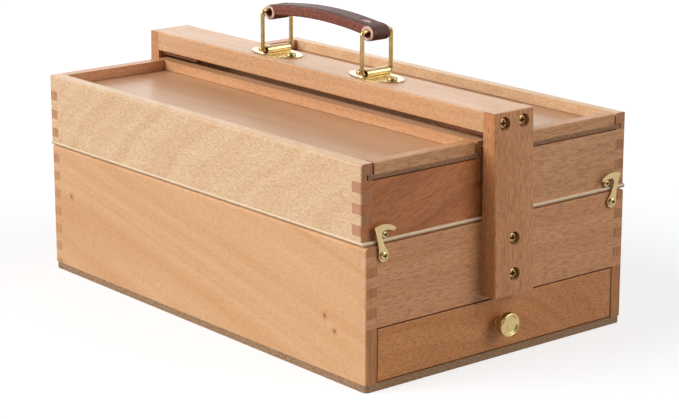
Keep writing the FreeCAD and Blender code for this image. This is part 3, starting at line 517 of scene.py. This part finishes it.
class BOX_OT_boards(bpy.types.Operator):
    """Oiled beech on every solid board, each with its own fibres and figure"""
    bl_idname = "drawer_box.boards"
    bl_label = "Beech boards"

    def execute(self, context):
        colours = context.scene.box_boards
        tan, tan_dark = "#dcab80", "#c99468"
        face_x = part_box("case_left_wall")[0].x
        knots = [(face_x, 0.157, 0.060), (face_x, -0.140, 0.042), (face_x, -0.150, 0.034)]
        dress(beech("beech_case_side", "Y", colours.case, "#d29d6c", "#b9804f", "#a36b3f", flame=0.12,
                    centre=(0, 0, -0.02), figure=0.55, fleck=0.10, tilt=0.22, threads=0.18, knots=knots),
              "case_left_wall", "case_right_wall")
        dress(beech("beech_tray_outer", "Y", colours.tray, "#d0a074", "#b27a55", "#9a6543", flame=0.35,
                    centre=(0.16, 0, -0.06), figure=0.3, fleck=0.35, streaks=0.2, threads=0.22),
              "left_tray_outer_wall", "right_tray_outer_wall")
        dress(beech("beech_tray_inner", "Y", tan, tan_dark, centre=(0, 0, -0.2), fleck=0.15),
              "left_tray_inner_wall", "right_tray_inner_wall")
        dress(beech("beech_case_front", "X", "#d79e71", "#c58a5b", "#dcab86", "#d09c75", flame=0.02,
                    centre=(0, 0, 0.05), fleck=0.25, threads=0.42, length=7.0, mark="#8a5231"),
              "case_front_wall")
        dress(beech("beech_rear_ends", "X", "#d8a27a", "#c38d62", "#cb966a", "#b47e54", flame=0.03,
                    centre=(0, 0, 0.05), fleck=0.18),
              "case_rear_wall", "left_tray_rear_wall", "right_tray_rear_wall")
        dress(beech("beech_left_front", "X", "#c07a49", "#9f5c30", "#c49270", "#b58261", flame=0.25,
                    centre=(0, 0, -0.1), figure=0.6, fleck=0.15, tilt=0.35, threads=0.4, length=7.0,
                    mark="#74401f"),
              "left_tray_front_wall")
        dress(beech("beech_right_front", "X", "#d49f74", "#c08b5e", "#bf8660", "#ab734e", flame=0.03,
                    centre=(0.1, 0, -0.16), fleck=0.25, threads=0.42, length=7.0, mark="#8a5231"),
              "right_tray_front_wall")
        # painted shade: edges darkens the drawer front's narrow top edge, for the shade in the gap under the
        # case front
        dress(beech("beech_drawer_front", "X", colours.drawer, "#ae6a36", flame=1.0, centre=(0.05, 0, 0.1),
                    figure=0.3, fleck=0.85, streaks=0.25, mark="#7d4a25", edges=0.7),
              "drawer_front")
        dress(beech("beech_uprights", "Z", "#d29668", "#c0824f", "#dcb18c", "#cf9f78", flame=0.03,
                    centre=(0, 0, 0.05), fleck=0.3, threads=0.45, length=7.0, mark="#84502e"),
              "front_upright", "rear_upright")
        dress(beech("beech_rail", "Y", "#dcad83", "#c99767", "#c8976d", "#b5825a", flame=0.03,
                    centre=(0, 0, -0.1), fleck=0.22, shine=0.7), "top_rail")
        # painted shade: the stop blocks are dark, for the shade in the slot under the rail where they sit
        dress(beech("beech_stop_blocks_painted_shade", "Y", "#7d4f30", "#623b22", "#7d4f30", "#623b22", fleck=0.15),
              "front_stop_block", "rear_stop_block")
        dress(beech("beech_lid_rails", "X", "#d09b6e", "#bb8554", flame=0.03, centre=(0, 0, -0.1),
                    fleck=0.25, threads=0.4, length=7.0, mark="#84502e"),
              *[side + "lid_front_rail" for side in BOTH])
        dress(beech("beech_drawer_sides", "Y", tan, tan_dark, fleck=0.15),
              "drawer_left_side", "drawer_right_side")
        dress(beech("beech_drawer_back", "X", tan, tan_dark, fleck=0.15), "drawer_back")
        return {"FINISHED"}


class BOX_OT_panels(bpy.types.Operator):
    """Plywood on the base, the floors and the lids, and pale birch under the trays"""
    bl_idname = "drawer_box.panels"
    bl_label = "Plywood panels"

    def execute(self, context):
        dress(plywood("beech_plywood_base", "#c99a6d", "#b5845a", "#b7936f", "#6f543f", stripes=0.15),
              "base_panel")
        dress(plywood("beech_plywood_lid", "#cda07b", "#b88a65", "#ad8160", "#694a32", ply=1.5, stripes=0.4,
                      roughness=0.32),
              *[side + "lid_panel" for side in BOTH], "compartment_floor", "drawer_bottom")
        # painted light and shade on the strip's edge: a pale top band for the light its rounded top edge
        # catches, and a dark bottom band for the shade in the gap under it
        dress(plywood("birch_plywood_tray_painted_light_and_shade", "#f6e3c6", "#ecd5b2", "#fbe6c8", "#8e5c3a", ply=2.4,
                      stripes=1.9, shift=1.9),
              *[side + "tray_bottom" for side in BOTH])
        return {"FINISHED"}


class BOX_OT_brass(bpy.types.Operator):
    """Polished brass on the screws, hooks, plates, bails and pins"""
    bl_idname = "drawer_box.brass"
    bl_label = "Brass fittings"

    def execute(self, context):
        bright = polished_brass("polished_brass_fittings", "#cdb88a", "#a38c5f", 0.22)
        satin = polished_brass("satin_brass_hooks", "#d6bf92", "#b79b67", 0.26)
        dull = polished_brass("aged_brass_screws", "#c2a074", "#84653f", 0.28)
        # painted shade: the crosses' recesses get dark brass, for the shade that falls in them
        recess_shade = polished_brass("brass_recess_painted_shade", "#4a3420", "#2a1c10", 0.6)
        dress(bright, "front_handle_plate", "rear_handle_plate", "tray_pivot_pins", "left_tray_bushes",
              "right_tray_bushes")
        dress(satin, "left_hook", "right_hook")
        # node, the way its heads face, their rise in mm, the shanks' radius in mm, body, brass
        heads = (("front_upright_screws", (0, -1, 0), 2.4, 2.0, "case", dull),
                 ("rear_upright_screws", (0, 1, 0), 2.4, 2.0, "case", dull),
                 ("handle_plate_screws", (0, 0, 1), 2.3, 1.6, "case", bright),
                 ("hook_pivot_screws", (0, -1, 0), 1.6, 1.3, "case", bright),
                 ("left_catch_screw", (0, -1, 0), 1.7, 1.3, "left_tray", bright),
                 ("right_catch_screw", (0, -1, 0), 1.7, 1.3, "right_tray", bright),
                 ("knob_screw", (0, 1, 0), 2.2, 2.0, "drawer", dull))
        for node, outward, rise, shank, body, material in heads:
            piece = screws_piece("crossed_" + node, node, outward, rise * MM, shank * MM, material, recess_shade)
            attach(piece, body)
            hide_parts(node)
        return {"FINISHED"}


class BOX_OT_knob(bpy.types.Operator):
    """Turned brass drawer knob with a flared foot and a dished face"""
    bl_idname = "drawer_box.knob"
    bl_label = "Drawer knob"

    def execute(self, context):
        sizes = context.scene.box_knob
        low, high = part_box("drawer_knob")
        length, centre_z, head = high.y - low.y, (low.z + high.z) / 2, (high.x - low.x) / 2
        # side: the foot flares as a bell curve, and the neck swells into the head as a smooth step
        side_length, flare, foot = 9.4 * MM, 0.5 * MM, 1.2 * MM
        swell_start, swell_length, ease = 2.4 * MM, 5.8 * MM, 1.2
        along = np.linspace(0, side_length, 60)
        side = sizes.neck + flare * np.exp(-(along / foot) ** 2)
        swell = np.clip((along - swell_start) / swell_length, 0, 1)
        side = side + (head - side) * swell ** ease * (1 + ease - ease * swell)
        # rim: a quarter ellipse, then a narrow flat; the face sinks from it as a smooth step, and goes on
        # sinking a little towards its middle
        shoulder, flat, floor = 1.1 * MM, 0.3 * MM, 0.85
        turn = np.linspace(0, np.pi / 2, 16)[1:]
        edge = head - shoulder * (1 - np.cos(turn))
        edge_along = side_length + (length - side_length) * np.sin(turn)
        share = np.linspace(1, 0.002, 60)[1:]
        face = edge[-1] * share
        inward = np.clip((edge[-1] - face - flat) / (sizes.rim - flat), 0, 1)
        face_along = length - sizes.dish * (inward ** 2 * (3 - 2 * inward)) * (floor + (1 - floor)
                                                                               * (1 - share ** 2))
        radius = np.concatenate([[0.001 * head], [side[0]], side, edge, face])
        depth = np.concatenate([[0], [0], along, edge_along, face_along])
        rows, columns = len(radius), 96
        around = np.linspace(0, 2 * np.pi, columns, endpoint=False)
        points = np.empty((rows, columns, 3))
        points[..., 0] = radius[:, None] * np.cos(around)
        points[..., 1] = high.y - depth[:, None]
        points[..., 2] = centre_z + radius[:, None] * np.sin(around)
        faces = grid_faces(rows, columns).tolist()
        faces.append(list(range(columns))[::-1])
        faces.append(list(range((rows - 1) * columns, rows * columns)))
        piece = make_piece("turned_knob", points.reshape(-1, 3), faces,
                           [polished_brass("polished_brass_knob", "#dcc693", "#b79a62", 0.2)])
        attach(piece, "drawer")
        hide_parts("drawer_knob")
        return {"FINISHED"}


class BOX_OT_bails(bpy.types.Operator):
    """Brass wire bails, bent round at the corners"""
    bl_idname = "drawer_box.bails"
    bl_label = "Bails"

    def execute(self, context):
        sizes = context.scene.box_bail
        wire_brass = polished_brass("drawn_brass_wire", sizes.brass, "#a2834c", 0.2)
        for side in ("front", "rear"):
            low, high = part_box(side + "_bail")
            points, faces = bail_points((low + high) / 2, (high.x - low.x) / 2 - sizes.wire,
                                        (high.z - low.z) / 2 - sizes.wire, sizes.bend, sizes.wire)
            piece = make_piece(side + "_wire_bail", points, faces, [wire_brass])
            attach(piece, side + "_bail_loop")
            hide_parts(side + "_bail")
        return {"FINISHED"}


class BOX_OT_grip(bpy.types.Operator):
    """Arched leather grip with an open loop round each bail and a slit beside each loop"""
    bl_idname = "drawer_box.grip"
    bl_label = "Leather grip"

    def execute(self, context):
        sizes = context.scene.box_grip
        low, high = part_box("leather_grip")
        bail_low, bail_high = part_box("rear_bail")
        rod_y, rod_z = (bail_low.y + bail_high.y) / 2, bail_high.z - (bail_high.y - bail_low.y) / 2
        half_width = (high.x - low.x) / 2
        loop_z = rod_z - sizes.hang
        loop_height, loop_length = loop_z - low.z, 6.3 * MM
        loop_y = high.y - loop_length
        waxed, burnished, cut = 0, 1, 2     # material slots

        # strap: a rounded rectangle carried along a parabola; past its underside it runs out over the loops
        # as an ellipse
        rows, run_out, run_out_rise, end_drop = 380, 5.1 * MM, 4.35 * MM, 0.2 * MM
        y = np.linspace(-loop_y, loop_y, rows)
        end_top = rod_z - end_drop + sizes.thickness / 2
        top = end_top + (high.z - end_top) * (1 - (y / rod_y) ** 2)
        short = np.clip((loop_y - np.abs(y)) / run_out, 0, 1)
        bottom = np.where(short < 1, loop_z + run_out_rise * np.sqrt(1 - short ** 2), top - sizes.thickness)
        # the section's corners need even turns, and its flat top needs even steps across
        side_power, top_power = 0.22, 0.30
        flat = np.linspace(-0.98, 0.98, 56)
        angle = np.sort(np.append(np.linspace(0, 2 * np.pi, 64, endpoint=False),
                                  np.arccos(signed_power(flat, 1 / side_power))))
        columns = len(angle)
        strap_half = half_width - 0.12 * MM
        across = strap_half * signed_power(np.cos(angle), side_power)
        upward = signed_power(np.sin(angle), top_power)
        points = np.empty((rows, columns, 3))
        points[..., 0] = across
        points[..., 1] = y[:, None]
        points[..., 2] = ((top + bottom) / 2)[:, None] + ((top - bottom) / 2)[:, None] * upward
        is_top = np.clip(np.sin(angle) * 4, 0, 1)
        # crease: a shallow groove along each top edge, as a bell curve
        crease_x, crease_width, crease_depth = 0.80 * strap_half, 0.45 * MM, 0.4 * MM
        points[..., 2] -= crease_depth * np.exp(-((np.abs(across) - crease_x) / crease_width) ** 2) * is_top
        # slits: the top sinks steeply inside a lens
        slit_y, slit_half, wall = 44.5 * MM, 6 * MM, 0.18
        along = np.clip(1 - ((np.abs(y) - slit_y) / slit_half) ** 2, 0, 1)
        lens = np.clip(along[:, None] - np.abs(across) / (sizes.slit_width / 2), -1, 1)
        sunk = np.clip(lens / wall, 0, 1) * is_top
        points[..., 2] -= sizes.slit_depth * sunk
        faces = grid_faces(rows, columns)
        is_slit = sunk.reshape(-1)[faces].mean(axis=1) > 0.5
        corner = faces[:, 0] % columns
        is_flank = (np.abs(upward[corner]) < 0.86) & (np.abs(across[corner]) > 0.9 * strap_half)
        slots = np.where(is_slit, cut, np.where(is_flank, burnished, waxed)).tolist()
        faces = faces.tolist()
        faces.append(list(range(columns))[::-1])
        faces.append(list(range((rows - 1) * columns, rows * columns)))
        slots += [waxed, waxed]
        all_points = [points.reshape(-1, 3)]
        start = rows * columns

        # loops: a rounded rectangular wall carried round an ellipse, with cut sides and a burnished inside
        turns, wall_steps = 96, 72
        hollow_length, hollow_height = 3.6 * MM, 3.0 * MM
        around = np.linspace(0, 2 * np.pi, turns, endpoint=False)[:, None]
        wall_turn = np.linspace(0, 2 * np.pi, wall_steps, endpoint=False)
        share = 0.5 + 0.5 * signed_power(np.sin(wall_turn), 0.35)
        ring_length = hollow_length + share * (loop_length - hollow_length)
        ring_height = hollow_height + share * (loop_height - hollow_height)
        for end in (-1, 1):
            ring = np.empty((turns, wall_steps, 3))
            ring[..., 0] = half_width * signed_power(np.cos(wall_turn), 0.12)
            ring[..., 1] = end * loop_y + ring_length * np.cos(around)
            ring[..., 2] = loop_z + ring_height * np.sin(around)
            quads = grid_faces(turns, wall_steps, wrap_rows=True)
            middle = np.sin(wall_turn[quads[:, 0] % wall_steps] + np.pi / wall_steps)
            slots += np.where(np.abs(middle) < 0.78, cut, np.where(middle < 0, burnished, waxed)).tolist()
            all_points.append(ring.reshape(-1, 3))
            faces += (quads + start).tolist()
            start += turns * wall_steps
        piece = make_piece("bridle_grip", np.concatenate(all_points), faces, [
            bridle_leather("bridle_leather_waxed", sizes.leather, "#331711", 0.48, 0.8),
            bridle_leather("bridle_leather_burnished_edge", "#9c5541", "#4a1f15", 0.5, 0.8),
            bridle_leather("bridle_leather_cut_edge", "#f6ded4", "#b98677", 0.7, 0.3)], slots)
        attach(piece, "grip")
        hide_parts("leather_grip")
        return {"FINISHED"}


class BOX_OT_stage(bpy.types.Operator):
    """Pale paper floor, white room, soft window light from behind on the left, and the camera"""
    bl_idname = "drawer_box.stage"
    bl_label = "Studio"

    def execute(self, context):
        settings = context.scene.box_stage
        scene = context.scene
        scene.view_settings.view_transform = "Standard"

        # matt paper: white to the eye, and a plain pale grey in the light that it throws back
        floor_material, tree = new_material("studio_floor_paper")
        light_path = add_node(tree, "ShaderNodeLightPath")
        paper = add_node(tree, "ShaderNodeBsdfDiffuse", {"Color": linear(settings.floor_colour)})
        pale_paper = add_node(tree, "ShaderNodeBsdfDiffuse", {"Color": (0.35, 0.35, 0.36, 1)})
        glow = add_node(tree, "ShaderNodeEmission", {"Color": (1, 1, 1, 1), "Strength": 0.72})
        seen = add_node(tree, "ShaderNodeAddShader", {0: pale_paper.outputs[0], 1: glow.outputs[0]})
        looked_at = add_node(tree, "ShaderNodeMath", {0: light_path.outputs["Is Camera Ray"],
                                                      1: light_path.outputs["Is Glossy Ray"]},
                             operation="MAXIMUM")
        surface = add_node(tree, "ShaderNodeMixShader", {0: looked_at.outputs[0], 1: paper.outputs[0],
                                                         2: seen.outputs[0]})
        finish_material(tree, surface)
        reach = 6.0
        corners = reach * np.array([[-1, -1, 0], [1, -1, 0], [1, 1, 0], [-1, 1, 0]])
        floor = make_piece("studio_floor", corners, [[0, 1, 2, 3]], [floor_material], smooth=False)

        world = bpy.data.worlds.new("studio_room")
        world.use_nodes = True
        tree = world.node_tree
        tree.nodes.clear()
        light_path = add_node(tree, "ShaderNodeLightPath")
        seen = add_node(tree, "ShaderNodeMath", {0: light_path.outputs["Is Camera Ray"],
                                                 1: light_path.outputs["Is Glossy Ray"]},
                        operation="MAXIMUM")
        seen = add_node(tree, "ShaderNodeMath", {0: seen.outputs[0],
                                                 1: light_path.outputs["Is Transmission Ray"]},
                        operation="MAXIMUM")
        # metal sees the dim room in front of the box between its white walls
        way = add_node(tree, "ShaderNodeTexCoord")
        toward = add_node(tree, "ShaderNodeVectorMath", {0: way.outputs["Generated"],
                                                         1: (-0.62, -0.76, 0.18)}, operation="DOT_PRODUCT")
        dim = add_node(tree, "ShaderNodeMapRange", {"Value": toward.outputs["Value"], "From Min": 0.45,
                                                    "From Max": 0.85, "To Min": 1.0, "To Max": 0.25},
                       interpolation_type="SMOOTHSTEP")
        bright = add_node(tree, "ShaderNodeMath", {0: light_path.outputs["Is Camera Ray"],
                                                   1: dim.outputs[0]}, operation="MAXIMUM")
        level = add_node(tree, "ShaderNodeMapRange", {"Value": seen.outputs[0], "To Min": settings.room,
                                                      "To Max": bright.outputs[0]})
        sky = add_node(tree, "ShaderNodeBackground", {"Color": (1, 1, 1, 1), "Strength": level.outputs[0]})
        add_node(tree, "ShaderNodeOutputWorld", {"Surface": sky.outputs[0]})
        scene.world = world

        # two suns as broad as windows: name, strength, the way to it, tint
        for name, strength, direction, tint in (
                ("window", settings.window, (-0.78, 0.38, 0.50), (1.0, 0.985, 0.96)),
                ("front_fill", settings.fill, (0.45, -0.72, 0.53), (1.0, 0.99, 0.97))):
            lamp = bpy.data.lights.new(name, "SUN")
            lamp.energy = strength
            lamp.angle = 0.75
            lamp.color = tint
            lamp_object = bpy.data.objects.new(name, lamp)
            lamp_object.rotation_euler = Vector(direction).to_track_quat("Z", "Y").to_euler()
            scene.collection.objects.link(lamp_object)

        # a white panel behind on the right, turned to the box, for the sheen of the tops
        panel = bpy.data.lights.new("white_panel", "AREA")
        panel.shape = "RECTANGLE"
        panel.size, panel.size_y = 1.8, 1.1
        panel.energy = settings.panel
        panel_object = bpy.data.objects.new("white_panel", panel)
        panel_object.location = (1.25, 2.25, 0.70)
        panel_object.rotation_euler = Vector((1.25, 2.15, 0.55)).to_track_quat("Z", "Y").to_euler()
        panel_object.visible_camera = False
        scene.collection.objects.link(panel_object)

        # a long lens, a little shifted to place the box in the frame
        camera = bpy.data.cameras.new("camera")
        camera.sensor_width = 36
        camera.lens = 115.72171
        camera.shift_x = 0.0803
        camera.shift_y = -0.0350
        camera.clip_end = 50
        camera_object = bpy.data.objects.new("camera", camera)
        yaw, pitch, roll = -0.6657, 0.2549, -0.0066
        turn = (Matrix.Rotation(yaw, 3, "Z") @ Matrix.Rotation(np.pi / 2 - pitch, 3, "X")
                @ Matrix.Rotation(roll, 3, "Z"))
        camera_object.location = (-0.959318, -1.174315, 0.475941)
        camera_object.rotation_euler = turn.to_euler()
        scene.collection.objects.link(camera_object)
        scene.camera = camera_object
        return {"FINISHED"}


class BOX_PT_panel(bpy.types.Panel):
    """Lists the box's pieces"""
    bl_idname = "BOX_PT_panel"
    bl_label = "Drawer box"
    bl_space_type = "VIEW_3D"
    bl_region_type = "UI"
    bl_category = "Drawer box"

    def draw(self, context):
        for operator in OPERATORS:
            self.layout.operator(operator.bl_idname)
        for group, kind in GROUPS.items():
            for name in kind.__annotations__:
                self.layout.prop(getattr(context.scene, group), name)


OPERATORS = (BOX_OT_boards, BOX_OT_panels, BOX_OT_brass, BOX_OT_knob, BOX_OT_bails, BOX_OT_grip,
             BOX_OT_stage)
GROUPS = {"box_boards": BoardColours, "box_knob": KnobSizes, "box_bail": BailSizes, "box_grip": GripSizes,
          "box_stage": StageSettings}
CLASSES = (*GROUPS.values(), *OPERATORS, BOX_PT_panel)


def register():
    for kind in CLASSES:
        bpy.utils.register_class(kind)
    for name, kind in GROUPS.items():
        setattr(bpy.types.Scene, name, PointerProperty(type=kind))


def unregister():
    for name in GROUPS:
        delattr(bpy.types.Scene, name)
    for kind in reversed(CLASSES):
        bpy.utils.unregister_class(kind)


def main():
    register()
    bpy.ops.drawer_box.boards()
    bpy.ops.drawer_box.panels()
    bpy.ops.drawer_box.brass()
    bpy.ops.drawer_box.knob()
    bpy.ops.drawer_box.bails()
    bpy.ops.drawer_box.grip()
    bpy.ops.drawer_box.stage()


if __name__ == "__main__":
    main()
